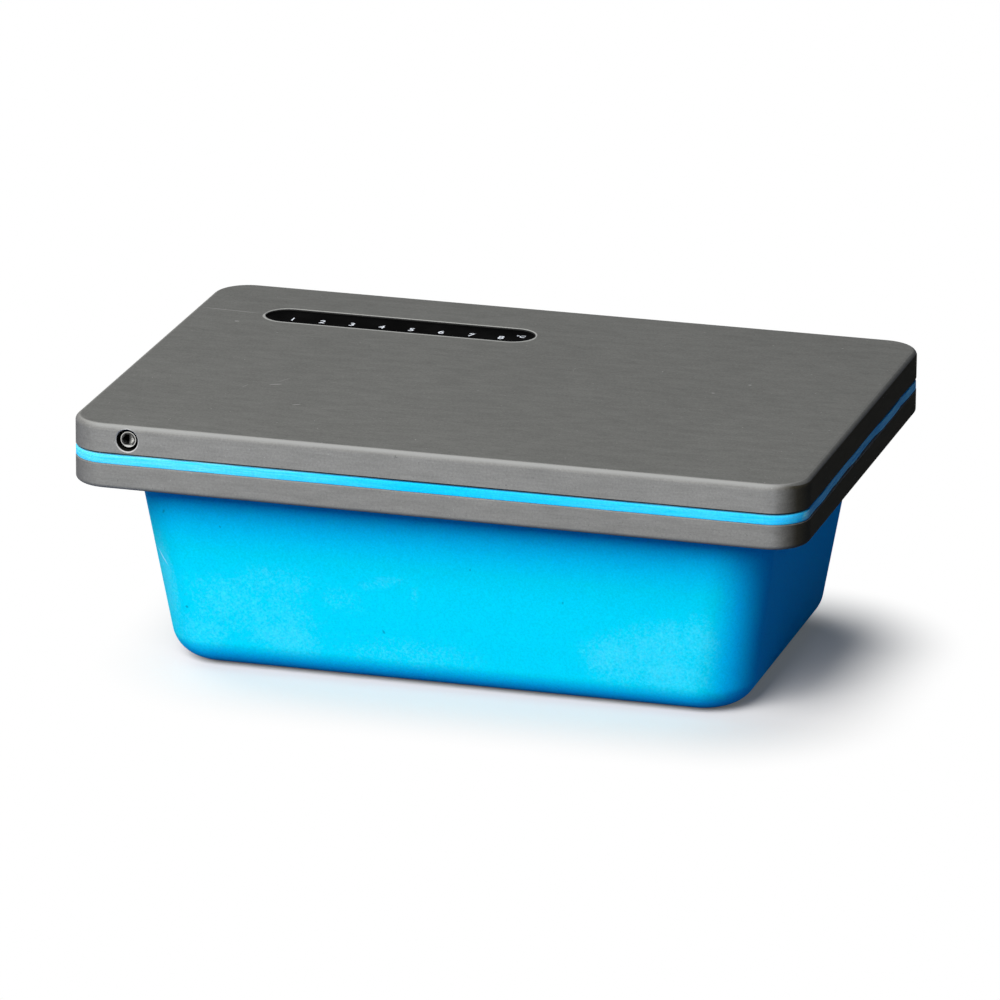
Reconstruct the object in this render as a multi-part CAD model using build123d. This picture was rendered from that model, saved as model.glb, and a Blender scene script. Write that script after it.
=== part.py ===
from build123d import *

import os
from math import radians, tan

# A cooling core for a rack of PCR tubes. A flat aluminium plate carries the rack.
# Under it hangs a drafted silicone tub full of freezing gel. The tub's flange lies
# between the plate and a clamping frame, and shows all round as a thin band.
# Countersunk screws go up through the frame and the flange into the plate.
#
# Millimetres. +Z is up, the tub's underside is at Z = 0, and X runs along the long
# side. The fill plug is in the front face, which looks along -Y. The thermometer
# strip lies along the back of the plate, towards the plug's end.

# ---- plate, flange and frame: one outline, three layers ----
core_length = 137.0
core_width = 95.0
core_corner_radius = 7.0
plate_thickness = 5.5
plate_top_round = 1.1
flange_thickness = 1.9
frame_thickness = 4.8
frame_lower_round = 0.9
edge_break = 0.25  # small chamfer on the other machined edges
land_width = 8.4  # from the outer edge to the tub's wall, all round
neck_clearance = 0.2  # between the frame's opening and the tub's neck

# ---- silicone tub and its gel ----
tub_depth = 37.1  # below the frame
tub_draft = 8.5  # degrees, on all four walls
tub_corner_radius = 10.4
tub_base_round = 6.5
tub_wall = 2.0
tub_floor = 2.5
gel_headspace = 3.0  # room for the gel to swell as it freezes

# ---- clamping screws, M3 countersunk with a hex socket ----
screws_on_long_side = 5  # corner screws included
screws_on_short_side = 4
screw_radius = 1.5
screw_head_radius = 2.8
screw_head_rim = 0.3  # straight edge of the head, under its cone
screw_socket = 2.0  # across flats
screw_socket_depth = 1.1
screw_end_chamfer = 0.4
screw_end_gap = 0.7  # from the screw's end to the bottom of its tapped hole
tap_web = 1.5  # from the bottom of the tapped holes to the plate's top face
thread_gap = 0.05  # radial, in every hole that stands for a thread
frame_hole_gap = 0.2  # radial, round the screws in the frame
flange_hole_gap = 0.1  # radial, round the screws in the flange
drill_point = 30.0  # degrees, slope of the cone that a drill leaves

# ---- fill port and its plug, an M4 set screw ----
plug_radius = 2.0
plug_length = 6.0
plug_depth = 0.9  # the plug's face below the plate's front face
plug_face_radius = 1.45
plug_socket = 2.0  # across flats
plug_socket_depth = 2.0
plug_point_radius = 1.0
port_mouth_chamfer = 0.25
port_thread_beyond = 1.5  # threaded length past the plug's inner end
port_web = 1.2  # metal between the port and the nearest corner screw
passage_radius = 1.2
drop_radius = 1.0
drop_margin = 0.3  # from the drop hole to the tub's inner wall and corner
passage_overrun = 0.5  # how far the passage is drilled past the drop hole

# ---- thermometer strip in its pocket ----
pocket_length = 52.4
pocket_width = 8.6
pocket_depth = 0.6
pocket_rim_break = 0.15
pocket_inset = 14.2  # from the plate's left and back edges
strip_thickness = 0.3
strip_gap = 0.1  # between the strip and the pocket's wall

# ---- heights and places that follow from these ----
frame_top = tub_depth + frame_thickness
plate_bottom = frame_top + flange_thickness
plate_top = plate_bottom + plate_thickness
plate_middle = plate_bottom + plate_thickness / 2
pocket_floor = plate_top - pocket_depth
left_face = -core_length / 2
front_face = -core_width / 2

port_x = left_face + land_width + tub_wall + drop_radius + drop_margin
port_thread_end = plug_depth + plug_length + port_thread_beyond
drop_inset = land_width + tub_corner_radius + drop_radius + drop_margin

corner_screw_inset = port_x - left_face - plug_radius - port_web - screw_radius
side_screw_inset = land_width / 2
tapped_depth = plate_thickness - tap_web
screw_length = frame_thickness + flange_thickness + tapped_depth - screw_end_gap

pocket_x = left_face + pocket_inset + pocket_length / 2
pocket_y = core_width / 2 - pocket_inset - pocket_width / 2


def slab(bottom, thickness):
    """One of the flat layers, in the core's own outline, at its height."""
    outline = RectangleRounded(core_length, core_width, core_corner_radius)
    return extrude(Pos(0, 0, bottom) * outline, thickness)


def turned(*profile):
    """A round solid on the Z axis from its half-profile of (radius, height) points."""
    on_axis = [(0, profile[0][1]), *profile]
    if profile[-1][0] > 0:
        on_axis.append((0, profile[-1][1]))
    return revolve(make_face(Plane.XZ * Polyline(*on_axis, close=True)), Axis.Z)


def drilled(radius, depth):
    """A blind hole upwards from Z = 0, with the cone that the drill leaves."""
    return turned((radius, 0), (radius, depth), (0, depth + radius * tan(radians(drill_point))))


def hex_socket(across_flats, depth):
    """A hexagonal socket upwards from Z = 0."""
    return extrude(RegularPolygon(across_flats / 2, 6, major_radius=False), depth)


# ---- clamping screws ----
def screw_places():
    """The screw axes: the four corners, then evenly along the land of each side."""
    corner_x = core_length / 2 - corner_screw_inset
    corner_y = core_width / 2 - corner_screw_inset
    side_x = core_length / 2 - side_screw_inset
    side_y = core_width / 2 - side_screw_inset
    places = [(x, y) for x in (-corner_x, corner_x) for y in (-corner_y, corner_y)]
    for i in range(1, screws_on_long_side - 1):
        x = corner_x * (2 * i / (screws_on_long_side - 1) - 1)
        places += [(x, -side_y), (x, side_y)]
    for i in range(1, screws_on_short_side - 1):
        y = corner_y * (2 * i / (screws_on_short_side - 1) - 1)
        places += [(-side_x, y), (side_x, y)]
    return places


def at_screws(piece, height):
    """A copy of the piece on every screw axis, lifted to the height."""
    return [Pos(x, y, height) * piece for x, y in screw_places()]


def head_cone_top(radius):
    """Height at which the head's 90 degree cone has narrowed to a radius."""
    return screw_head_rim + screw_head_radius - radius


def clamp_screw():
    """One countersunk screw, with the face of its head at Z = 0."""
    shank = screw_radius - thread_gap
    body = turned(
        (screw_head_radius, 0),
        (screw_head_radius, screw_head_rim),
        (shank, head_cone_top(shank)),
        (shank, screw_length - screw_end_chamfer),
        (shank - screw_end_chamfer, screw_length),
    )
    return body - hex_socket(screw_socket, screw_socket_depth)


# ---- top plate ----
def strip_outline(gap):
    """The round-ended outline of the pocket, or of what lies in it with a gap."""
    return Pos(pocket_x, pocket_y) * SlotOverall(pocket_length - 2 * gap, pocket_width - 2 * gap)


def at_port(piece):
    """Turns a piece from the Z axis so that it runs in from the front at the port."""
    return Pos(port_x, front_face, plate_middle) * Rot(-90, 0, 0) * piece


def fill_port():
    """Threaded port from the front face, the passage past it, and the drop hole."""
    port = turned(
        (plug_radius + port_mouth_chamfer, 0),
        (plug_radius, port_mouth_chamfer),
        (plug_radius, port_thread_end),
    )
    passage = drilled(passage_radius, drop_inset + drop_radius + passage_overrun)
    drop = turned((drop_radius, 0), (drop_radius, plate_middle - plate_bottom))
    return at_port(port + passage) + Pos(port_x, front_face + drop_inset, plate_bottom) * drop


def top_plate():
    """The machined plate: round upper edge, strip pocket, tapped holes, fill port."""
    plate = slab(plate_bottom, plate_thickness)
    plate = fillet(plate.faces().sort_by(Axis.Z)[-1].edges(), plate_top_round)
    plate = chamfer(plate.faces().sort_by(Axis.Z)[0].edges(), edge_break)
    plate -= extrude(Pos(0, 0, pocket_floor) * strip_outline(0), pocket_depth)
    rim = plate.faces().sort_by(Axis.Z)[-1].inner_wires()[0]
    plate = chamfer(rim.edges(), pocket_rim_break)
    plate -= at_screws(drilled(screw_radius, tapped_depth), plate_bottom)
    return plate - fill_port()


# ---- fill plug ----
def fill_plug():
    """The set screw: chamfered face with a hex socket, and a cone point inside."""
    thread = plug_radius - thread_gap
    screw = turned(
        (plug_face_radius, 0),
        (thread, thread - plug_face_radius),
        (thread, plug_length - (thread - plug_point_radius)),
        (plug_point_radius, plug_length),
    )
    screw -= hex_socket(plug_socket, plug_socket_depth)
    return at_port(Pos(0, 0, plug_depth) * screw)


# ---- thermometer strip ----
def thermometer_strip():
    """The film that lies on the pocket's floor, its face below the plate's."""
    return extrude(Pos(0, 0, pocket_floor) * strip_outline(strip_gap), strip_thickness)


# ---- silicone tub and its gel ----
def tub_body(bottom, top, inset):
    """Drafted walls, round corners and base, then a straight neck up through the frame."""
    neck_length = core_length - 2 * (land_width + inset)
    neck_width = core_width - 2 * (land_width + inset)
    body = extrude(Pos(0, 0, bottom) * Rectangle(neck_length, neck_width), tub_depth - bottom)
    walls = body.faces().filter_by(Axis.Z, reverse=True)
    body = draft(walls, Plane.XY.offset(tub_depth), -tub_draft)
    body = fillet(body.edges().filter_by(Plane.XY, reverse=True), tub_corner_radius - inset)
    body = fillet(body.faces().sort_by(Axis.Z)[0].edges(), tub_base_round - inset)
    return body + extrude(body.faces().sort_by(Axis.Z)[-1], top - tub_depth)


def coolant_tub():
    """The one moulding: rolled base, drafted walls, neck, and the clamped flange."""
    hole_radius = screw_radius + flange_hole_gap
    hole = turned((hole_radius, 0), (hole_radius, flange_thickness))
    flange = slab(frame_top, flange_thickness) - at_screws(hole, frame_top)
    return tub_body(0, frame_top, 0) + flange - tub_body(tub_floor, plate_bottom, tub_wall)


def coolant_gel():
    """The gel in the tub, from its floor up to the headspace."""
    return tub_body(tub_floor, plate_bottom - gel_headspace, tub_wall)


# ---- clamping frame ----
def clamp_frame():
    """The machined ring under the flange, countersunk from below for the screws."""
    frame = slab(tub_depth, frame_thickness)
    frame = fillet(frame.faces().sort_by(Axis.Z)[0].edges(), frame_lower_round)
    frame = chamfer(frame.faces().sort_by(Axis.Z)[-1].edges(), edge_break)
    opening = RectangleRounded(
        core_length - 2 * (land_width - neck_clearance),
        core_width - 2 * (land_width - neck_clearance),
        tub_corner_radius + neck_clearance,
    )
    frame -= extrude(Pos(0, 0, tub_depth) * opening, frame_thickness)
    hole_radius = screw_radius + frame_hole_gap
    hole = turned(
        (screw_head_radius, 0),
        (screw_head_radius, screw_head_rim),
        (hole_radius, head_cone_top(hole_radius)),
        (hole_radius, frame_thickness),
    )
    return frame - at_screws(hole, tub_depth)


pieces = {
    "top_plate": top_plate(),
    "thermometer_strip": thermometer_strip(),
    "fill_plug": fill_plug(),
    "coolant_tub": coolant_tub(),
    "coolant_gel": coolant_gel(),
    "clamp_frame": clamp_frame(),
    "clamp_screws": Compound(children=at_screws(clamp_screw(), tub_depth)),
}

os.makedirs("parts", exist_ok=True)
for name, shape in pieces.items():
    export_step(shape, f"parts/{name}.step")
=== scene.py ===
from math import copysign, cos, pi, radians, sin

import bmesh
import bpy
from mathutils import Matrix, Quaternion, Vector, noise


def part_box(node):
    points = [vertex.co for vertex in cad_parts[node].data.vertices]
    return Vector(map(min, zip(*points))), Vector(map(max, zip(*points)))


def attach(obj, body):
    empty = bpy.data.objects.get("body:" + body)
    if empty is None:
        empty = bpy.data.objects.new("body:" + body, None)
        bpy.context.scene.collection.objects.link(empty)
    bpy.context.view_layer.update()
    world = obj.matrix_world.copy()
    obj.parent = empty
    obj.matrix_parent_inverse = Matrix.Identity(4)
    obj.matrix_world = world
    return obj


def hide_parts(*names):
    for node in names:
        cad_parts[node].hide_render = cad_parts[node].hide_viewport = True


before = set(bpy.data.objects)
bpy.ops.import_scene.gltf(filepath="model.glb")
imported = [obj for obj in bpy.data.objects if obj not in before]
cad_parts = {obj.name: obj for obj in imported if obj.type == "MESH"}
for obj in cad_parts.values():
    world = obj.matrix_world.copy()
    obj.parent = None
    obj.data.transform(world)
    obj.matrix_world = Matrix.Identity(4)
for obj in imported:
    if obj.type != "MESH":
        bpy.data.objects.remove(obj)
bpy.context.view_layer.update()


# ---- top plate ----
# A milled slab of aluminium that takes the rack. It is hard anodised all over, then
# its pocket rim and its port rim are cut bright. It carries the frame's screws.
MM = 0.001


def linear(hex_colour):
    """A colour written as sRGB hex, turned to the linear values that shaders take."""
    channels = [int(hex_colour[i : i + 2], 16) / 255 for i in (1, 3, 5)]
    return [c / 12.92 if c <= 0.04045 else ((c + 0.055) / 1.055) ** 2.4 for c in channels] + [1.0]


def add(tree, kind, sockets, **settings):
    """Adds one shader node. Settings are its own properties. Sockets give each input a value, or a link
    from a socket, or from the first output in use on another node."""
    made = tree.nodes.new("ShaderNode" + kind)
    for name, value in settings.items():
        setattr(made, name, value)
    for name, value in sockets.items():
        if isinstance(value, bpy.types.Node):
            value = next(output for output in value.outputs if output.enabled)
        if isinstance(value, bpy.types.NodeSocket):
            tree.links.new(value, made.inputs[name])
        else:
            made.inputs[name].default_value = value
    return made


def new_material(name):
    """An empty node material, with its tree and its surface socket."""
    made = bpy.data.materials.new(name)
    made.use_nodes = True
    made.node_tree.nodes.clear()
    output = add(made.node_tree, "OutputMaterial", {})
    return made, made.node_tree, output.inputs["Surface"]


def finish_node(node_name, material):
    """Gives a CAD node its finished material."""
    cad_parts[node_name].data.materials.clear()
    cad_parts[node_name].data.materials.append(material)


SCRATCHES = [  # in mm: centre x and y, length and width; then degrees from the X axis, and strength
    (-61.2, 29.0, 13.0, 0.22, -3, 0.35),
    (-39.0, -14.6, 2.6, 0.25, 22, 0.50),
    (-38.3, -11.5, 3.5, 0.18, 62, 0.25),
    (-31.6, -25.6, 1.8, 0.25, 28, 0.45),
    (-58.1, 22.4, 1.0, 0.45, 10, 0.45),
    (-44.0, -17.0, 2.4, 0.18, 75, 0.20),
    (44.2, 10.8, 0.7, 0.50, 0, 0.35),
    (39.0, 3.9, 0.7, 0.45, 0, 0.35),
]


def anodised_aluminium(name, face_shade_hex, side_hex, left_shade_hex, right_shade_hex, scratches):
    """Hard-anodised aluminium, milled: matt warm grey, finely grained and faintly streaked along the
    cutter's path, with pits and specks. The flat faces and the two ends are painted darker than the long
    sides, and the right end the darkest: painted shade, for how the light falls on each side."""
    material, tree, surface = new_material(name)
    place = add(tree, "TexCoord", {}).outputs["Object"]
    normal = add(tree, "SeparateXYZ", {0: add(tree, "NewGeometry", {}).outputs["Normal"]})

    # The cutter ran along X, and along Y on the two short ends.
    sideways = add(tree, "Math", {0: normal.outputs["X"]}, operation="ABSOLUTE")
    end_face = add(tree, "MapRange", {"Value": sideways, "From Min": 0.66, "From Max": 0.74})
    crosswise = add(tree, "Mapping", {"Vector": place, "Rotation": (0, 0, pi / 2)})
    path = add(tree, "Mix", {0: end_face, 4: place, 5: crosswise}, data_type="VECTOR")

    # Real streaks are under 0.1 mm across; these are drawn as coarse as they need to show.
    streak_size = (1 / (7 * MM), 1 / (0.5 * MM), 1 / (0.3 * MM))
    streaks = add(tree, "Mapping", {"Vector": path, "Scale": streak_size})
    streaks = add(tree, "TexNoise", {"Vector": streaks, "Scale": 1.0, "Detail": 3.0, "Roughness": 0.6})
    mottle_size = (1 / (6 * MM), 1 / (2.4 * MM), 1 / (1.2 * MM))
    mottle = add(tree, "Mapping", {"Vector": path, "Scale": mottle_size})
    mottle = add(tree, "TexNoise", {"Vector": mottle, "Scale": 1.0})
    clouds = add(tree, "TexNoise", {"Vector": place, "Scale": 1 / (28 * MM)})
    grain = add(
        tree,
        "TexNoise",
        {"Vector": place, "Scale": 1 / (0.42 * MM), "Detail": 3.0, "Roughness": 0.8},
    )
    spots = add(tree, "TexNoise", {"Vector": place, "Scale": 1 / (0.55 * MM), "Detail": 1.0})

    # Each side is painted its own shade, for how the light falls on it: painted shade. The right end's
    # runs up over its round edge, and the painted shade of the lapped flat faces runs down that edge to
    # meet it.
    round_over = add(tree, "MapRange", {"Value": normal.outputs["Z"], "To Min": 1.0, "To Max": 1.5})
    right_end = add(tree, "Math", {0: normal.outputs["X"], 1: round_over}, operation="MULTIPLY")
    right_end = add(tree, "MapRange", {"Value": right_end, "From Min": 0.25, "From Max": 0.80})
    left_end = add(tree, "MapRange", {"Value": normal.outputs["X"], "From Min": -0.1, "From Max": -0.8})
    flat_face = add(tree, "Math", {0: normal.outputs["Z"]}, operation="ABSOLUTE")
    to_right = add(tree, "MapRange", {"Value": normal.outputs["X"], "To Max": 0.6})
    flat_face = add(tree, "Math", {0: flat_face, 1: to_right}, operation="ADD")
    flat_face = add(tree, "MapRange", {"Value": flat_face, "From Min": 0.90, "From Max": 0.995})
    colour = linear(side_hex)
    for mask, hex_colour in ((right_end, right_shade_hex), (left_end, left_shade_hex), (flat_face, face_shade_hex)):
        colour = add(tree, "Mix", {0: mask, 6: colour, 7: linear(hex_colour)}, data_type="RGBA")
    for pattern, swing in ((streaks, 0.07), (mottle, 0.06), (clouds, 0.03), (grain, 0.14)):
        level = add(
            tree,
            "MapRange",
            {"Value": pattern, "From Min": 0.3, "From Max": 0.7, "To Min": 1 - swing, "To Max": 1 + swing},
        )
        colour = add(tree, "VectorMath", {0: colour, "Scale": level}, operation="SCALE")

    # Light specks where the oxide is chipped, and dark pits.
    chips = add(tree, "MapRange", {"Value": spots, "From Min": 0.76, "From Max": 0.82, "To Max": 0.35})
    pits = add(tree, "MapRange", {"Value": spots, "From Min": 0.26, "From Max": 0.20, "To Max": 0.35})
    for mask, hex_colour in ((chips, "#A4A4A0"), (pits, "#30302E")):
        colour = add(tree, "Mix", {0: mask, 6: colour, 7: linear(hex_colour)}, data_type="RGBA")

    for x, y, length, width, turn, strength in scratches:
        own = add(
            tree,
            "Mapping",
            {"Vector": place, "Location": (x * MM, y * MM, 0), "Rotation": (0, 0, radians(turn))},
            vector_type="TEXTURE",
        )
        axes = add(tree, "SeparateXYZ", {0: own})
        along = add(tree, "Math", {0: axes.outputs["X"]}, operation="ABSOLUTE")
        along = add(
            tree,
            "MapRange",
            {"Value": along, "From Min": length / 2 * MM, "From Max": length / 4 * MM, "To Max": strength},
        )
        across = add(tree, "Math", {0: axes.outputs["Y"]}, operation="ABSOLUTE")
        across = add(
            tree,
            "MapRange",
            {"Value": across, "From Min": width / 2 * MM, "From Max": width / 5 * MM},
        )
        mark = add(tree, "Math", {0: along, 1: across}, operation="MULTIPLY")
        colour = add(tree, "Mix", {0: mark, 6: colour, 7: linear("#B8B8B4")}, data_type="RGBA")

    rough = add(
        tree,
        "MapRange",
        {"Value": streaks, "From Min": 0.3, "From Max": 0.7, "To Min": 0.72, "To Max": 0.84},
    )
    bump = add(tree, "Bump", {"Strength": 0.2, "Distance": 0.02 * MM, "Height": grain})
    sheen = add(tree, "MapRange", {"Value": right_end, "To Min": 0.04, "To Max": 0.01})
    shader = add(
        tree,
        "BsdfPrincipled",
        {"Base Color": colour, "Roughness": rough, "Normal": bump, "Specular IOR Level": sheen},
    )
    tree.links.new(shader.outputs[0], surface)
    return material, tree, shader


plate_low, plate_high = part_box("top_plate")
# Its flat faces and its two ends are painted darker than its long sides: painted shade.
plate_finish, plate_tree, plate_shader = anodised_aluminium(
    "hard anodised aluminium, milled plate",
    face_shade_hex="#5A5A57",
    side_hex="#767571",
    left_shade_hex="#636260",
    right_shade_hex="#36332A",
    scratches=SCRATCHES,
)
plate_place = add(plate_tree, "TexCoord", {}).outputs["Object"]
plate_height = add(plate_tree, "SeparateXYZ", {0: plate_place}).outputs["Z"]
plate_normal = add(plate_tree, "SeparateXYZ", {0: add(plate_tree, "NewGeometry", {}).outputs["Normal"]})
facing_up = plate_normal.outputs["Z"]

# The round upper edge is painted pale along the front and the back: a painted highlight.
painted_edge_highlight = add(plate_tree, "MapRange", {"Value": facing_up, "From Min": 0.30, "From Max": 0.70})
not_flat = add(plate_tree, "MapRange", {"Value": facing_up, "From Min": 0.99, "From Max": 0.90})
lengthwise = add(plate_tree, "Math", {0: plate_normal.outputs["X"]}, operation="ABSOLUTE")
lengthwise = add(plate_tree, "MapRange", {"Value": lengthwise, "From Min": 0.45, "From Max": 0.05})
for mask in (not_flat, lengthwise):
    painted_edge_highlight = add(plate_tree, "Math", {0: painted_edge_highlight, 1: mask}, operation="MULTIPLY")

# The break on its lower edge is painted dark over the flange: painted shade of the gap there.
gap_shade = add(plate_tree, "MapRange", {"Value": facing_up, "From Min": -0.3, "From Max": -0.6})
not_under = add(plate_tree, "MapRange", {"Value": facing_up, "From Min": -0.95, "From Max": -0.8})
gap_shade = add(plate_tree, "Math", {0: gap_shade, 1: not_under}, operation="MULTIPLY")

# The pocket follows the strip that lies in it. Its wall is painted dark, a painted shade in the recess, and
# its broken rim is cut bright.
# The rim is worn wider along the front, where things are dragged over it.
STRIP_GAP = 0.1 * MM
RIM_BREAK = 0.15 * MM
strip_low, strip_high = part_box("thermometer_strip")
strip_middle = (strip_low + strip_high) / 2
strip_end_radius = (strip_high.y - strip_low.y) / 2
strip_straight = (strip_high.x - strip_low.x) / 2 - strip_end_radius
rim_radius = strip_end_radius + STRIP_GAP + RIM_BREAK
past_rim = {"From Min": rim_radius + 0.24 * MM, "From Max": rim_radius + 0.12 * MM}
from_strip = add(plate_tree, "VectorMath", {0: plate_place, 1: strip_middle}, operation="SUBTRACT")
pocket_axes = add(plate_tree, "SeparateXYZ", {0: from_strip})
past_straight = add(plate_tree, "Math", {0: pocket_axes.outputs["X"]}, operation="ABSOLUTE")
past_straight = add(plate_tree, "Math", {0: past_straight, 1: strip_straight}, operation="SUBTRACT")
past_straight = add(plate_tree, "Math", {0: past_straight, 1: 0.0}, operation="MAXIMUM")
pocket_radius = add(plate_tree, "CombineXYZ", {"X": past_straight, "Y": pocket_axes.outputs["Y"]})
pocket_radius = add(plate_tree, "VectorMath", {0: pocket_radius}, operation="LENGTH")
pocket_wall_shade = add(plate_tree, "MapRange", {"Value": pocket_radius, **past_rim})
wear = add(
    plate_tree,
    "MapRange",
    {"Value": pocket_axes.outputs["Y"], "From Max": -2 * MM, "To Max": 0.32 * MM},
)
worn_radius = add(plate_tree, "Math", {0: pocket_radius, 1: wear}, operation="SUBTRACT")
pocket_rim = add(plate_tree, "MapRange", {"Value": worn_radius, **past_rim})
at_top = add(
    plate_tree,
    "MapRange",
    {"Value": plate_height, "From Min": plate_high.z - 0.11 * MM, "From Max": plate_high.z - 0.05 * MM},
)
pocket_rim = add(plate_tree, "Math", {0: pocket_rim, 1: at_top}, operation="MULTIPLY")

# The port's mouth is cut bright, and its thread inside is painted dark: painted shade in the bore.
MOUTH_BREAK = 0.25 * MM
plug_low, plug_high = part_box("fill_plug")
plug_middle = (plug_low + plug_high) / 2
plug_radius = (plug_high.x - plug_low.x) / 2
mouth_radius = plug_radius + MOUTH_BREAK
from_plug = add(plate_tree, "VectorMath", {0: plate_place, 1: plug_middle}, operation="SUBTRACT")
port_axes = add(plate_tree, "SeparateXYZ", {0: from_plug})
port_depth = port_axes.outputs["Y"]
in_front = add(plate_tree, "MapRange", {"Value": port_depth, "From Min": 20 * MM, "From Max": 10 * MM})
port_radius = add(plate_tree, "CombineXYZ", {"X": port_axes.outputs["X"], "Y": port_axes.outputs["Z"]})
port_radius = add(plate_tree, "VectorMath", {0: port_radius}, operation="LENGTH")
port_mouth = add(
    plate_tree,
    "MapRange",
    {"Value": port_radius, "From Min": mouth_radius + 0.07 * MM, "From Max": mouth_radius + 0.01 * MM},
)
port_mouth = add(plate_tree, "Math", {0: port_mouth, 1: in_front}, operation="MULTIPLY")
port_thread_shade = add(
    plate_tree,
    "MapRange",
    {"Value": port_radius, "From Min": plug_radius + 0.14 * MM, "From Max": plug_radius + 0.07 * MM},
)
port_thread_shade = add(plate_tree, "Math", {0: port_thread_shade, 1: in_front}, operation="MULTIPLY")

plate_colour = plate_shader.inputs["Base Color"].links[0].from_socket
for mask, hex_colour in (
    (painted_edge_highlight, "#858582"),
    (gap_shade, "#343432"),
    (pocket_wall_shade, "#242423"),
    (pocket_rim, "#8E8E8A"),
    (port_mouth, "#A4A3A0"),
    (port_thread_shade, "#12110E"),
):
    plate_colour = add(
        plate_tree, "Mix", {0: mask, 6: plate_colour, 7: linear(hex_colour)}, data_type="RGBA"
    )
plate_tree.links.new(plate_colour.outputs[2], plate_shader.inputs["Base Color"])
finish_node("top_plate", plate_finish)


# ---- thermometer strip ----
# A black liquid-crystal film under a clear matt face, stuck on the pocket's floor.
# Its figures and degree sign are printed in white; it shows black when it is warm.
FIGURE_HEIGHT = 1.83 * MM
FIRST_FIGURE = -48.72 * MM
FIGURE_STEP = 5.81 * MM
FIGURE_LINE = 26.8 * MM  # the foot of the figures
DEGREE_SIGN_HEIGHT = 0.68 * FIGURE_HEIGHT
DEGREE_SIGN_AT = -4.7 * MM
DEGREE_SIGN_LINE = 28.7 * MM
FIGURE_SHARE = 0.72  # of the type's size that a figure fills
STROKE_SPREAD = 0.005 * MM
PRINT_THICKNESS = 0.02 * MM

film, film_tree, film_surface = new_material("black liquid crystal film, matt")
film_place = add(film_tree, "TexCoord", {}).outputs["Object"]
smears = add(film_tree, "TexNoise", {"Vector": film_place, "Scale": 1 / (5 * MM), "Detail": 3.0})
film_rough = add(
    film_tree,
    "MapRange",
    {"Value": smears, "From Min": 0.35, "From Max": 0.7, "To Min": 0.6, "To Max": 0.8},
)
film_bump = add(film_tree, "Bump", {"Strength": 0.1, "Distance": 0.02 * MM, "Height": smears})
film_shader = add(
    film_tree,
    "BsdfPrincipled",
    {
        "Base Color": linear("#020202"),
        "Roughness": film_rough,
        "Normal": film_bump,
        "Specular IOR Level": 0.003,
    },
)
film_tree.links.new(film_shader.outputs[0], film_surface)
finish_node("thermometer_strip", film)

# The ink is opaque and half matt, a little uneven where the screen's mesh laid it down.
ink, ink_tree, ink_surface = new_material("white ink, screen printed")
ink_place = add(ink_tree, "TexCoord", {}).outputs["Object"]
ink_grain = add(ink_tree, "TexNoise", {"Vector": ink_place, "Scale": 1 / (0.3 * MM)})
ink_colour = add(
    ink_tree, "Mix", {0: ink_grain, 6: linear("#C0C4CA"), 7: linear("#DDE1E6")}, data_type="RGBA"
)
ink_shader = add(
    ink_tree,
    "BsdfPrincipled",
    {"Base Color": ink_colour, "Roughness": 0.45, "Specular IOR Level": 0.3},
)
ink_tree.links.new(ink_shader.outputs[0], ink_surface)


def printed(name, words, height, x, y):
    """White print on the film's face, middled on x and standing on y. It is a mesh before it is placed."""
    curve = bpy.data.curves.new(name, "FONT")
    curve.body = words
    curve.size = height / FIGURE_SHARE
    curve.align_x = "CENTER"
    curve.offset = STROKE_SPREAD
    curve.extrude = PRINT_THICKNESS / 2
    writing = bpy.data.objects.new(name, curve)
    bpy.context.scene.collection.objects.link(writing)
    bpy.context.view_layer.update()
    mesh = bpy.data.meshes.new_from_object(writing)
    bpy.data.objects.remove(writing)
    mesh.transform(Matrix.Translation((x, y, strip_high.z + PRINT_THICKNESS / 2)))
    mesh.materials.append(ink)
    piece = bpy.data.objects.new(name, mesh)
    bpy.context.scene.collection.objects.link(piece)
    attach(piece, "root")


for figure in range(1, 9):
    figure_at = FIRST_FIGURE + (figure - 1) * FIGURE_STEP
    printed(f"figure_{figure}", str(figure), FIGURE_HEIGHT, figure_at, FIGURE_LINE)
printed("degree_sign", "°C", DEGREE_SIGN_HEIGHT, DEGREE_SIGN_AT, DEGREE_SIGN_LINE)


# ---- coolant tub ----
# One moulding in cyan silicone: base, drafted walls and the flange that the plate and
# the frame hold. Its cut rim is soft, so it stands a little in from the metal, unevenly.
CORNER_RADIUS = 7.0 * MM
CUT_STEP = 2.5 * MM  # between the upright cuts in the rim
CUT_ROWS = (0.07, 0.30, 0.55, 0.78, 0.87, 0.94)  # the level cuts, as shares of its height
FRONT_INSET = 0.03 * MM  # how far the rim stands in from the metal along the front
WAVE_INSET = 0.34 * MM  # and up to this much more along the ends and the back
RIPPLE = 0.03 * MM
UPPER_LIP = 0.34 * MM
UPPER_LIP_INSET = 0.40 * MM
LOWER_LIP = UPPER_LIP / 2
LOWER_LIP_INSET = 0.06 * MM
LEAST_INSET = 0.01 * MM
ON_SURFACE = 0.005 * MM
SAME_POINT = 0.001 * MM
SHARP_ANGLE = 38  # degrees

tub_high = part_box("coolant_tub")[1]
half_length = tub_high.x
half_width = tub_high.y
rim_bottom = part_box("clamp_frame")[1].z
rim_top = plate_low.z


def past_corner(x, y):
    """How far a point lies past the centres of the outline's corner arcs, along X and along Y."""
    return abs(x) - (half_length - CORNER_RADIUS), abs(y) - (half_width - CORNER_RADIUS)


def on_rim(vert):
    """True for a vertex of the flange's cut rim."""
    over_x, over_y = past_corner(vert.co.x, vert.co.y)
    outside = Vector((max(over_x, 0), max(over_y, 0))).length + min(max(over_x, over_y), 0) - CORNER_RADIUS
    in_band = rim_bottom - ON_SURFACE < vert.co.z < rim_top + ON_SURFACE
    return in_band and abs(outside) < 4 * ON_SURFACE


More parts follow.
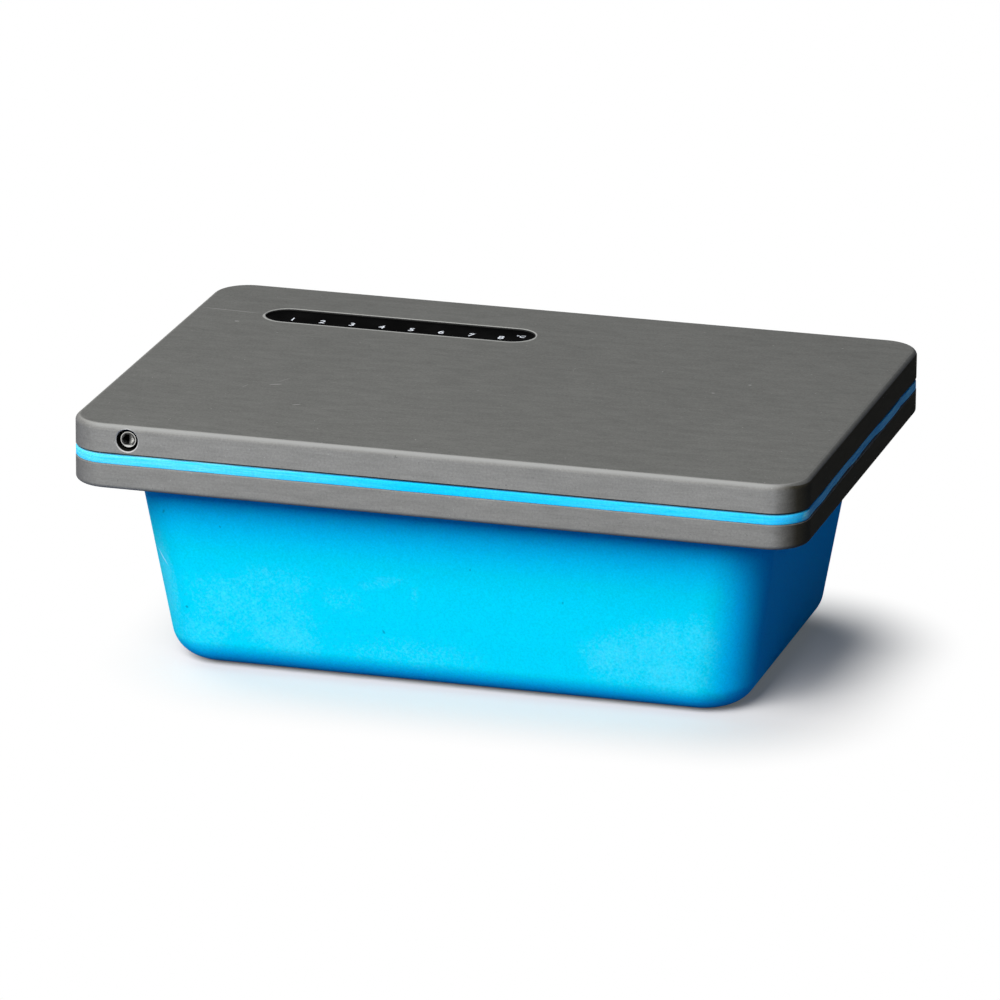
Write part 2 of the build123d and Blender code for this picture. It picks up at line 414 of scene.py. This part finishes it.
def cut_rim(mesh, point, normal):
    """Cuts the rim's faces, and only those, by one plane."""
    faces = [f for f in mesh.faces if all(on_rim(v) for v in f.verts)]
    edges = {e for f in faces for e in f.edges}
    verts = {v for f in faces for v in f.verts}
    bmesh.ops.bisect_plane(
        mesh, geom=[*verts, *edges, *faces], dist=SAME_POINT, plane_co=point, plane_no=normal
    )


def rise(value, start, end):
    """0 up to the start, 1 from the end on, and evenly up between them."""
    return min(max((value - start) / (end - start), 0), 1)


tub_mesh = bmesh.new()
tub_mesh.from_mesh(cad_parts["coolant_tub"].data)
bmesh.ops.remove_doubles(tub_mesh, verts=tub_mesh.verts, dist=SAME_POINT)
for row in CUT_ROWS:
    cut_rim(tub_mesh, (0, 0, rim_bottom + (rim_top - rim_bottom) * row), (0, 0, 1))
for reach, along in ((half_length, Vector((1, 0, 0))), (half_width, Vector((0, 1, 0)))):
    steps = int(reach / CUT_STEP)
    for step in range(-steps, steps + 1):
        cut_rim(tub_mesh, along * (step * CUT_STEP), along)

for vert in [v for v in tub_mesh.verts if on_rim(v)]:
    x, y, z = vert.co
    # Nearly flush along the front, and wavy along the two ends and the back, past the corners.
    along_end = rise(abs(x), 64 * MM, 68 * MM) * rise(y, -42 * MM, -36 * MM)
    along_back = rise(y, 43 * MM, 47 * MM)
    long_wave = noise.noise(Vector((x, y, 0)) / (13 * MM))
    short_wave = noise.noise(Vector((x, y, 7)) / (4 * MM))
    wave = min(max(0.5 + 1.6 * long_wave + 0.5 * short_wave, 0), 1)
    inset = FRONT_INSET + WAVE_INSET * max(along_end, along_back) * wave
    inset += RIPPLE * noise.noise(Vector((x, y, 4 * z)) / (3 * MM))
    # Its upper lip is rounded away from the plate, and its lower one a little from the frame.
    inset += UPPER_LIP_INSET * max(0, 1 - (rim_top - z) / UPPER_LIP) ** 1.5
    inset += LOWER_LIP_INSET * max(0, 1 - (z - rim_bottom) / LOWER_LIP) ** 2
    over_x, over_y = past_corner(x, y)
    inwards = Vector((-copysign(max(over_x, 0), x), -copysign(max(over_y, 0), y), 0))
    vert.co += inwards.normalized() * max(inset, LEAST_INSET)

for face in tub_mesh.faces:
    face.smooth = True
for edge in tub_mesh.edges:
    edge.smooth = edge.is_manifold and edge.calc_face_angle() < radians(SHARP_ANGLE)
tub_data = bpy.data.meshes.new("silicone_tub")
tub_mesh.to_mesh(tub_data)
tub_mesh.free()
tub = bpy.data.objects.new("silicone_tub", tub_data)
bpy.context.scene.collection.objects.link(tub)
tub_normals = tub.modifiers.new("even shading", "WEIGHTED_NORMAL")
tub_normals.keep_sharp = True
tub_normals.weight = 100
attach(tub, "root")
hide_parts("coolant_tub")

# Marks on the front wall are ovals. In mm: centre x and z, half width and half height; then the
# turn in degrees. A pale patch of bloom ends with its strength, and a speck with its colour.
BLOOM = [
    (-33, 18, 11, 5, -8, 0.50),
    (-37, 12.5, 17, 7.5, 12, 0.60),
    (-31, 7.5, 9, 5, 8, 0.80),
    (-48, 7, 9, 5, 0, 0.70),
    (-54.2, 14.5, 3.2, 14, -8, 1.20),
    (-20, 16, 6, 4, 15, 0.34),
    (-12, 20.5, 7, 1.6, -14, 0.40),
    (-5.8, 18.5, 1.0, 4, 0, 0.36),
    (-8, 6.5, 17, 4.5, 0, 0.42),
    (37.5, 12.5, 15, 6, -14, 0.75),
    (32, 9.5, 8.5, 6.5, 0, 0.90),
    (41.5, 7.5, 9.5, 5.5, 0, 0.85),
    (47.2, 14, 4.2, 8, 0, 0.80),
]
SPECKS = [
    (-53.3, 30.4, 0.22, 0.50, 30, "#0A5C8C"),
    (-42.3, 28.7, 0.18, 0.30, -30, "#0A5C8C"),
    (-49.7, 11.7, 0.34, 0.30, 0, "#0A5C8C"),
    (-12.0, 10.7, 0.22, 0.50, -30, "#0A5C8C"),
    (4.8, 24.8, 0.22, 0.22, 0, "#0A5C8C"),
    (22.0, 20.0, 0.20, 0.26, 0, "#0A5C8C"),
    (-54.6, 20.6, 1.9, 0.17, 48, "#C8F4FF"),  # a fine scratch at the corner
]
FRONT_WALL = -36 * MM  # the wall's place along Y, from which each oval reaches in and out
OVAL_DEPTH = 12 * MM

# Platinum-cured silicone, moulded: satin and saturated, soft at its edges because light
# enters it, with a pale dusty bloom where it has been wiped and a few caught specks.
silicone, silicone_tree, silicone_surface = new_material("silicone rubber, moulded satin")
tub_place = add(silicone_tree, "TexCoord", {}).outputs["Object"]
tub_axes = add(silicone_tree, "SeparateXYZ", {0: tub_place})
tub_along = tub_axes.outputs["X"]
tub_height = tub_axes.outputs["Z"]
tub_normal = add(silicone_tree, "SeparateXYZ", {0: add(silicone_tree, "NewGeometry", {}).outputs["Normal"]})


def reach_of_oval(x, z, half_wide, half_high, turn):
    """How far out of an oval on the front wall: 0 at its middle and 1 at its edge."""
    oval = add(
        silicone_tree,
        "Mapping",
        {
            "Vector": tub_place,
            "Location": (x * MM, FRONT_WALL, z * MM),
            "Rotation": (0, radians(turn), 0),
            "Scale": (half_wide * MM, OVAL_DEPTH, half_high * MM),
        },
        vector_type="TEXTURE",
    )
    return add(silicone_tree, "VectorMath", {0: oval}, operation="LENGTH")


bloom = 0.0
for *oval, strength in BLOOM:
    patch = add(
        silicone_tree,
        "MapRange",
        {"Value": reach_of_oval(*oval), "From Min": 1.25, "From Max": 0.2, "To Max": strength},
        interpolation_type="SMOOTHSTEP",
    )
    bloom = add(silicone_tree, "Math", {0: bloom, 1: patch}, operation="MAXIMUM")

# It is a fine powder, broken up at the patches' borders, where only its thickest spots show.
dust = bloom
for size, roughness, swing in (
    (1.8 * MM, 0.6, 1.1),  # clumps
    (0.5 * MM, 0.7, 2.6),  # powder, coarser than the real one, so that it shows
    (9 * MM, 0.5, 0.7),  # drifts
):
    pattern = add(
        silicone_tree, "TexNoise", {"Vector": tub_place, "Scale": 1 / size, "Roughness": roughness}
    )
    pattern = add(silicone_tree, "Math", {0: pattern, 1: 0.5}, operation="SUBTRACT")
    pattern = add(silicone_tree, "Math", {0: pattern, 1: swing}, operation="MULTIPLY")
    dust = add(silicone_tree, "Math", {0: dust, 1: pattern}, operation="ADD")
dust = add(silicone_tree, "MapRange", {"Value": dust, "From Min": 0.20, "From Max": 1.35})
inside = add(silicone_tree, "MapRange", {"Value": bloom, "From Min": 0.02, "From Max": 0.35})
above_foot = add(
    silicone_tree,
    "MapRange",
    {"Value": tub_height, "From Min": 2 * MM, "From Max": 6 * MM, "To Max": 0.12},
)
for mask in (inside, above_foot):
    dust = add(silicone_tree, "Math", {0: dust, 1: mask}, operation="MULTIPLY")

# The cut rim is drawn in fine level lines. It is dusty towards its two ends, more so on the left,
# and dustiest on the right-hand end.
rim = add(silicone_tree, "MapRange", {"Value": tub_height, "From Min": 41.0 * MM, "From Max": 42.0 * MM})
line_size = (1 / (8 * MM), 1 / (8 * MM), 1 / (0.25 * MM))
rim_lines = add(silicone_tree, "Mapping", {"Vector": tub_place, "Scale": line_size})
rim_lines = add(silicone_tree, "TexNoise", {"Vector": rim_lines, "Scale": 1.0})
rim_lines = add(
    silicone_tree,
    "MapRange",
    {"Value": rim_lines, "From Min": 0.3, "From Max": 0.7, "To Min": 0.4, "To Max": 1.6},
)
left_dust = add(
    silicone_tree,
    "MapRange",
    {"Value": tub_along, "From Min": -5 * MM, "From Max": -42 * MM, "To Min": 0.02, "To Max": 0.22},
)
right_dust = add(
    silicone_tree,
    "MapRange",
    {"Value": tub_along, "From Min": 5 * MM, "From Max": 40 * MM, "To Min": 0.02, "To Max": 0.09},
)
end_dust = add(
    silicone_tree,
    "MapRange",
    {"Value": tub_normal.outputs["X"], "From Min": 0.88, "From Max": 0.98, "To Max": 0.85},
)
rim_dust = left_dust
for other in (right_dust, end_dust):
    rim_dust = add(silicone_tree, "Math", {0: rim_dust, 1: other}, operation="MAXIMUM")
for mask in (rim_lines, rim):
    rim_dust = add(silicone_tree, "Math", {0: rim_dust, 1: mask}, operation="MULTIPLY")
dust = add(silicone_tree, "Math", {0: dust, 1: rim_dust}, operation="MAXIMUM")

# It is painted a deeper blue towards the neck, on the right-hand end and under the base: painted shade, the
# bluer shade under the frame and on the sides turned from the light. The rim is a deeper blue too. The foot
# and the
# crack under the plate are painted dark: painted shadow.
neck_shade_tint = add(silicone_tree, "MapRange", {"Value": tub_height, "From Min": 24 * MM, "From Max": 33 * MM})
facing_down = add(silicone_tree, "Math", {0: tub_normal.outputs["Z"], 1: -1.0}, operation="MULTIPLY")
shade_side_tint = add(silicone_tree, "Math", {0: tub_normal.outputs["X"], 1: facing_down}, operation="MAXIMUM")
shade_side_tint = add(silicone_tree, "MapRange", {"Value": shade_side_tint, "From Min": 0.25, "From Max": 0.65})
# The foot is painted dark where it meets the table: painted shadow.
foot_shadow = add(
    silicone_tree,
    "MapRange",
    {"Value": tub_height, "From Min": 1.8 * MM, "From Max": 0.2 * MM, "To Max": 0.6},
)
# The top of the rim, in the crack under the plate, is painted dark: painted shadow of the plate's edge.
crack_from = rim_top - 0.30 * MM
crack_by = rim_top - 0.14 * MM
crack_shadow = add(
    silicone_tree,
    "MapRange",
    {"Value": tub_height, "From Min": crack_from, "From Max": crack_by, "To Max": 0.9},
)
blue = linear("#00C7E3")
for mask, hex_colour in (
    (neck_shade_tint, "#00C0FF"),
    (shade_side_tint, "#00BEFF"),
    (rim, "#00B5F2"),
    (foot_shadow, "#044A6E"),
    (crack_shadow, "#0A3C58"),
    (dust, "#9CF0FF"),
):
    blue = add(silicone_tree, "Mix", {0: mask, 6: blue, 7: linear(hex_colour)}, data_type="RGBA")
for *oval, hex_colour in SPECKS:
    speck = add(
        silicone_tree,
        "MapRange",
        {"Value": reach_of_oval(*oval), "From Min": 1.2, "From Max": 0.5, "To Max": 0.5},
    )
    blue = add(silicone_tree, "Mix", {0: speck, 6: blue, 7: linear(hex_colour)}, data_type="RGBA")

# The mould's blasted skin, drawn coarser than it is, mottles the colour and breaks up the sheen.
skin = add(
    silicone_tree,
    "TexNoise",
    {"Vector": tub_place, "Scale": 1 / (0.4 * MM), "Detail": 3.0, "Roughness": 0.7},
)
skin_shade = add(
    silicone_tree,
    "MapRange",
    {"Value": skin, "From Min": 0.3, "From Max": 0.7, "To Min": 0.90, "To Max": 1.10},
)
blue = add(silicone_tree, "VectorMath", {0: blue, "Scale": skin_shade}, operation="SCALE")
skin_bump = add(silicone_tree, "Bump", {"Strength": 0.12, "Distance": 0.03 * MM, "Height": skin})
skin_rough = add(
    silicone_tree,
    "MapRange",
    {"Value": skin, "From Min": 0.3, "From Max": 0.7, "To Min": 0.65, "To Max": 0.75},
)
silicone_shader = add(
    silicone_tree,
    "BsdfPrincipled",
    {
        "Base Color": blue,
        "Roughness": skin_rough,
        "Normal": skin_bump,
        "IOR": 1.41,
        "Specular IOR Level": 0.03,
        "Subsurface Weight": 0.25,
        "Subsurface Radius": (0.1, 0.4, 1.0),
        "Subsurface Scale": 3 * MM,
    },
)
silicone_tree.links.new(silicone_shader.outputs[0], silicone_surface)
tub_data.materials.append(silicone)


# ---- coolant gel ----
# Water-based freezing gel, poured in through the port. It fills the tub but for a few
# millimetres under the plate, and is out of sight behind the tub's wall.
gel, gel_tree, gel_surface = new_material("freezing gel, wet")
gel_place = add(gel_tree, "TexCoord", {}).outputs["Object"]
gel_swirl = add(gel_tree, "TexNoise", {"Vector": gel_place, "Scale": 1 / (15 * MM)})
gel_colour = add(
    gel_tree, "Mix", {0: gel_swirl, 6: linear("#BFE0EE"), 7: linear("#DCF0F6")}, data_type="RGBA"
)
gel_shader = add(gel_tree, "BsdfPrincipled", {"Base Color": gel_colour, "Roughness": 0.15, "IOR": 1.34})
gel_tree.links.new(gel_shader.outputs[0], gel_surface)
finish_node("coolant_gel", gel)


# ---- clamping frame ----
# A milled ring of the same aluminium under the flange. The screws pull it up against
# the plate, and its lower outer edge is rounded so that it doesn't cut the hand.
# Its flat faces and its two ends are painted darker than its long sides: painted shade.
frame_finish = anodised_aluminium(
    "hard anodised aluminium, milled frame",
    face_shade_hex="#5A5A57",
    side_hex="#73726E",
    left_shade_hex="#61605E",
    right_shade_hex="#36332A",
    scratches=[],
)[0]
finish_node("clamp_frame", frame_finish)


# ---- clamping screws and fill plug ----
# Stainless socket screws, countersunk up through the frame, and the M4 set screw that
# closes the fill port. Both are turned, and their sockets are broached.
steel, steel_tree, steel_surface = new_material("stainless steel, turned")
steel_place = add(steel_tree, "TexCoord", {}).outputs["Object"]
lathe = add(steel_tree, "TexNoise", {"Vector": steel_place, "Scale": 1 / (0.2 * MM)})
steel_colour = add(
    steel_tree, "Mix", {0: lathe, 6: linear("#6E6D6B"), 7: linear("#8E8D8A")}, data_type="RGBA"
)
steel_rough = add(steel_tree, "MapRange", {"Value": lathe, "To Min": 0.22, "To Max": 0.42})
steel_shader = add(
    steel_tree,
    "BsdfPrincipled",
    {"Base Color": steel_colour, "Metallic": 1.0, "Roughness": steel_rough},
)
steel_tree.links.new(steel_shader.outputs[0], steel_surface)
finish_node("clamp_screws", steel)

# The plug is the same steel, blackened. The edge of its face is painted bright, a painted highlight,
# and the thread round that is painted dark, a painted shade.
PLUG_FACE = 1.45 * MM
SOCKET_FLAT = 1.0 * MM  # from the axis to each flat
HIGHLIGHT_RING = PLUG_FACE - 0.06 * MM
plug_finish, plug_tree, plug_surface = new_material("stainless steel, blackened set screw")
plug_place = add(plug_tree, "TexCoord", {}).outputs["Object"]
plug_normal = add(plug_tree, "SeparateXYZ", {0: add(plug_tree, "NewGeometry", {}).outputs["Normal"]})
from_middle = add(plug_tree, "VectorMath", {0: plug_place, 1: plug_middle}, operation="SUBTRACT")
plug_axes = add(plug_tree, "SeparateXYZ", {0: from_middle})
plug_right = plug_axes.outputs["X"]
plug_up = plug_axes.outputs["Z"]
from_axis = add(plug_tree, "CombineXYZ", {"X": plug_right, "Y": plug_up})
from_axis = add(plug_tree, "VectorMath", {0: from_axis}, operation="LENGTH")
across_flats = 0.0
for flat in (30, 90, 150):
    outwards = (cos(radians(flat)), 0, sin(radians(flat)))
    flat_reach = add(plug_tree, "VectorMath", {0: from_middle, 1: outwards}, operation="DOT_PRODUCT")
    flat_reach = add(plug_tree, "Math", {0: flat_reach}, operation="ABSOLUTE")
    across_flats = add(plug_tree, "Math", {0: across_flats, 1: flat_reach}, operation="MAXIMUM")
# The socket is painted black: painted shade in its hollow.
socket_from = SOCKET_FLAT + 0.02 * MM
socket_by = SOCKET_FLAT - 0.02 * MM
socket = add(plug_tree, "MapRange", {"Value": across_flats, "From Min": socket_from, "From Max": socket_by})

# The right-hand part of the socket's floor and of its lower flat is painted bright: painted light, where
# the light reaches into the socket.
to_right = add(plug_tree, "MapRange", {"Value": plug_right, "From Min": -0.5 * MM, "From Max": -0.1 * MM})
socket_floor_light = add(
    plug_tree, "MapRange", {"Value": plug_normal.outputs["Y"], "From Min": -0.6, "From Max": -0.9}
)
lower_flat_light = add(
    plug_tree, "MapRange", {"Value": plug_normal.outputs["Z"], "From Min": 0.6, "From Max": 0.9}
)
for mask in (to_right, socket):
    socket_floor_light = add(plug_tree, "Math", {0: socket_floor_light, 1: mask}, operation="MULTIPLY")
    lower_flat_light = add(plug_tree, "Math", {0: lower_flat_light, 1: mask}, operation="MULTIPLY")
# The face below the socket is painted bright: a painted highlight.
lower_face_highlight = add(
    plug_tree, "MapRange", {"Value": plug_up, "From Min": -0.95 * MM, "From Max": -1.15 * MM}
)
# The thread round the face is painted black: painted shade.
thread_from = PLUG_FACE + 0.02 * MM
thread_by = PLUG_FACE + 0.10 * MM
thread = add(plug_tree, "MapRange", {"Value": from_axis, "From Min": thread_from, "From Max": thread_by})
# The edge of the face is painted bright: a painted highlight.
face_ring_highlight = add(plug_tree, "Math", {0: from_axis, 1: HIGHLIGHT_RING}, operation="SUBTRACT")
face_ring_highlight = add(plug_tree, "Math", {0: face_ring_highlight}, operation="ABSOLUTE")
face_ring_highlight = add(
    plug_tree,
    "MapRange",
    {"Value": face_ring_highlight, "From Min": 0.09 * MM, "From Max": 0.05 * MM, "To Max": 0.8},
)
plug_grain = add(plug_tree, "TexNoise", {"Vector": plug_place, "Scale": 1 / (0.3 * MM)})
plug_colour = add(
    plug_tree, "Mix", {0: plug_grain, 6: linear("#2C2C2B"), 7: linear("#505050")}, data_type="RGBA"
)
for mask, hex_colour in (
    (lower_face_highlight, "#D0D0CC"),  # the face below the socket, painted bright: a painted highlight
    (socket, "#080808"),
    (socket_floor_light, "#8C8C8A"),
    (lower_flat_light, "#DCDCD8"),
    (thread, "#080808"),
    (face_ring_highlight, "#D8D8D4"),
):
    plug_colour = add(
        plug_tree, "Mix", {0: mask, 6: plug_colour, 7: linear(hex_colour)}, data_type="RGBA"
    )
plug_shader = add(
    plug_tree, "BsdfPrincipled", {"Base Color": plug_colour, "Metallic": 1.0, "Roughness": 0.35}
)
plug_tree.links.new(plug_shader.outputs[0], plug_surface)
finish_node("fill_plug", plug_finish)


# ---- floor, light and camera ----
# A pale table, clear from below, under one large soft light in front, a little to the left,
# with a weak one behind. The camera stands off with a long lens.
FLOOR_REACH = 4.0
TUB_FOOT = (40.5 * MM, 18 * MM, 0)  # half of the tub's base, from whose edge the shadow fades
SHADOW_SHIFT = (8 * MM, -8 * MM, 0)  # it lies a little to the right and to the front
WHITE_FROM = 12 * MM  # from here out the floor turns to the plain white of the backdrop
WHITE_BY = 38 * MM
WHITE = (1.0, 1.0, 1.0, 1.0)
TABLE = (0.545, 0.53, 0.515, 1.0)
TABLE_LIFT = (0.92, 1.0, 1.0, 1.0)  # light that the table gives back, so that its shadow stays pale
TABLE_TO_TUB = (0.05, 0.09, 0.19, 1.0)  # what the table throws back on the object: little, and blue
SKY_TO_TUB = (0.65, 1.00, 2.10, 1.0)
SKY_LEVEL = 0.035  # of the light that the backdrop throws on the object
AIM = Vector((1.6 * MM, -6.4 * MM, 28.4 * MM))
CAMERA_AZIMUTH = 15.75
CAMERA_ELEVATION = 17.61
CAMERA_DISTANCE = 1.5638
CAMERA_ROLL = 0.45


def from_centre(azimuth, elevation, distance):
    """A point round the object: azimuth 0 is in front, and 90 is off its right-hand end."""
    a, e = radians(azimuth), radians(elevation)
    return Vector((sin(a) * cos(e), -cos(a) * cos(e), sin(e))) * distance


def seen_itself(tree):
    """1 for a ray that sees the surface itself, straight or through a mirror or glass, and else 0."""
    ray = add(tree, "LightPath", {}).outputs
    seen = add(tree, "Math", {0: ray["Is Camera Ray"], 1: ray["Is Glossy Ray"]}, operation="ADD")
    return add(tree, "Math", {0: seen, 1: ray["Is Transmission Ray"]}, operation="ADD", use_clamp=True)


floor_mesh = bmesh.new()
bmesh.ops.create_grid(floor_mesh, x_segments=1, y_segments=1, size=FLOOR_REACH)
floor_data = bpy.data.meshes.new("floor")
floor_mesh.to_mesh(floor_data)
floor_mesh.free()
floor = bpy.data.objects.new("floor", floor_data)
bpy.context.scene.collection.objects.link(floor)

table, table_tree, table_surface = new_material("pale table")
from_tub = add(table_tree, "TexCoord", {}).outputs["Object"]
from_tub = add(table_tree, "VectorMath", {0: from_tub, 1: SHADOW_SHIFT}, operation="SUBTRACT")
from_tub = add(table_tree, "VectorMath", {0: from_tub}, operation="ABSOLUTE")
from_tub = add(table_tree, "VectorMath", {0: from_tub, 1: TUB_FOOT}, operation="SUBTRACT")
from_tub = add(table_tree, "VectorMath", {0: from_tub, 1: (0, 0, 0)}, operation="MAXIMUM")
from_tub = add(table_tree, "VectorMath", {0: from_tub}, operation="LENGTH")
away = add(
    table_tree,
    "MapRange",
    {"Value": from_tub, "From Min": WHITE_FROM, "From Max": WHITE_BY},
    interpolation_type="SMOOTHSTEP",
)
matt = add(table_tree, "BsdfDiffuse", {"Color": TABLE})
lift = add(table_tree, "Emission", {"Color": TABLE_LIFT, "Strength": 0.088})
near = add(table_tree, "AddShader", {0: matt, 1: lift})
far = add(table_tree, "Emission", {"Color": WHITE, "Strength": 1.0})
looks = add(table_tree, "MixShader", {0: away, 1: near, 2: far})
throws = add(table_tree, "BsdfDiffuse", {"Color": TABLE_TO_TUB})
above = add(table_tree, "MixShader", {0: seen_itself(table_tree), 1: throws, 2: looks})
clear = add(table_tree, "BsdfTransparent", {})
from_below = add(table_tree, "NewGeometry", {}).outputs["Backfacing"]
either_side = add(table_tree, "MixShader", {0: from_below, 1: above, 2: clear})
table_tree.links.new(either_side.outputs[0], table_surface)
floor_data.materials.append(table)

world = bpy.data.worlds.new("studio")
world.use_nodes = True
world_tree = world.node_tree
world_tree.nodes.clear()
sky_seen = seen_itself(world_tree)
sky_level = add(world_tree, "MapRange", {"Value": sky_seen, "To Min": SKY_LEVEL, "To Max": 1.0})
sky_colour = add(world_tree, "Mix", {0: sky_seen, 6: SKY_TO_TUB, 7: WHITE}, data_type="RGBA")
backdrop = add(world_tree, "Background", {"Color": sky_colour, "Strength": sky_level})
sky = add(world_tree, "OutputWorld", {})
world_tree.links.new(backdrop.outputs[0], sky.inputs["Surface"])
bpy.context.scene.world = world


def soft_light(name, azimuth, elevation, distance, size, level):
    """A square area light that faces the object. Level 1 shows a colour that faces it as it is written."""
    lamp = bpy.data.lights.new(name, "AREA")
    lamp.shape = "SQUARE"
    lamp.size = size
    lamp.energy = level * pi * pi * distance**2
    holder = bpy.data.objects.new(name, lamp)
    holder.location = from_centre(azimuth, elevation, distance)
    holder.rotation_mode = "QUATERNION"
    holder.rotation_quaternion = holder.location.to_track_quat("Z", "Y")
    bpy.context.scene.collection.objects.link(holder)


soft_light("front softbox", azimuth=-15, elevation=41, distance=1.2, size=0.85, level=2.0)
soft_light("back softbox", azimuth=-125, elevation=28, distance=1.2, size=0.8, level=0.48)

lens = bpy.data.cameras.new("camera")
lens.lens = 306.7
lens.sensor_width = 36.0
lens.clip_end = 20.0
camera = bpy.data.objects.new("camera", lens)
toward_camera = from_centre(CAMERA_AZIMUTH, CAMERA_ELEVATION, 1.0)
roll = Quaternion((0, 0, 1), radians(CAMERA_ROLL))
camera.location = AIM + toward_camera * CAMERA_DISTANCE
camera.rotation_mode = "QUATERNION"
camera.rotation_quaternion = (-toward_camera).to_track_quat("-Z", "Y") @ roll
bpy.context.scene.collection.objects.link(camera)
bpy.context.scene.camera = camera
bpy.context.scene.view_settings.view_transform = "Standard"
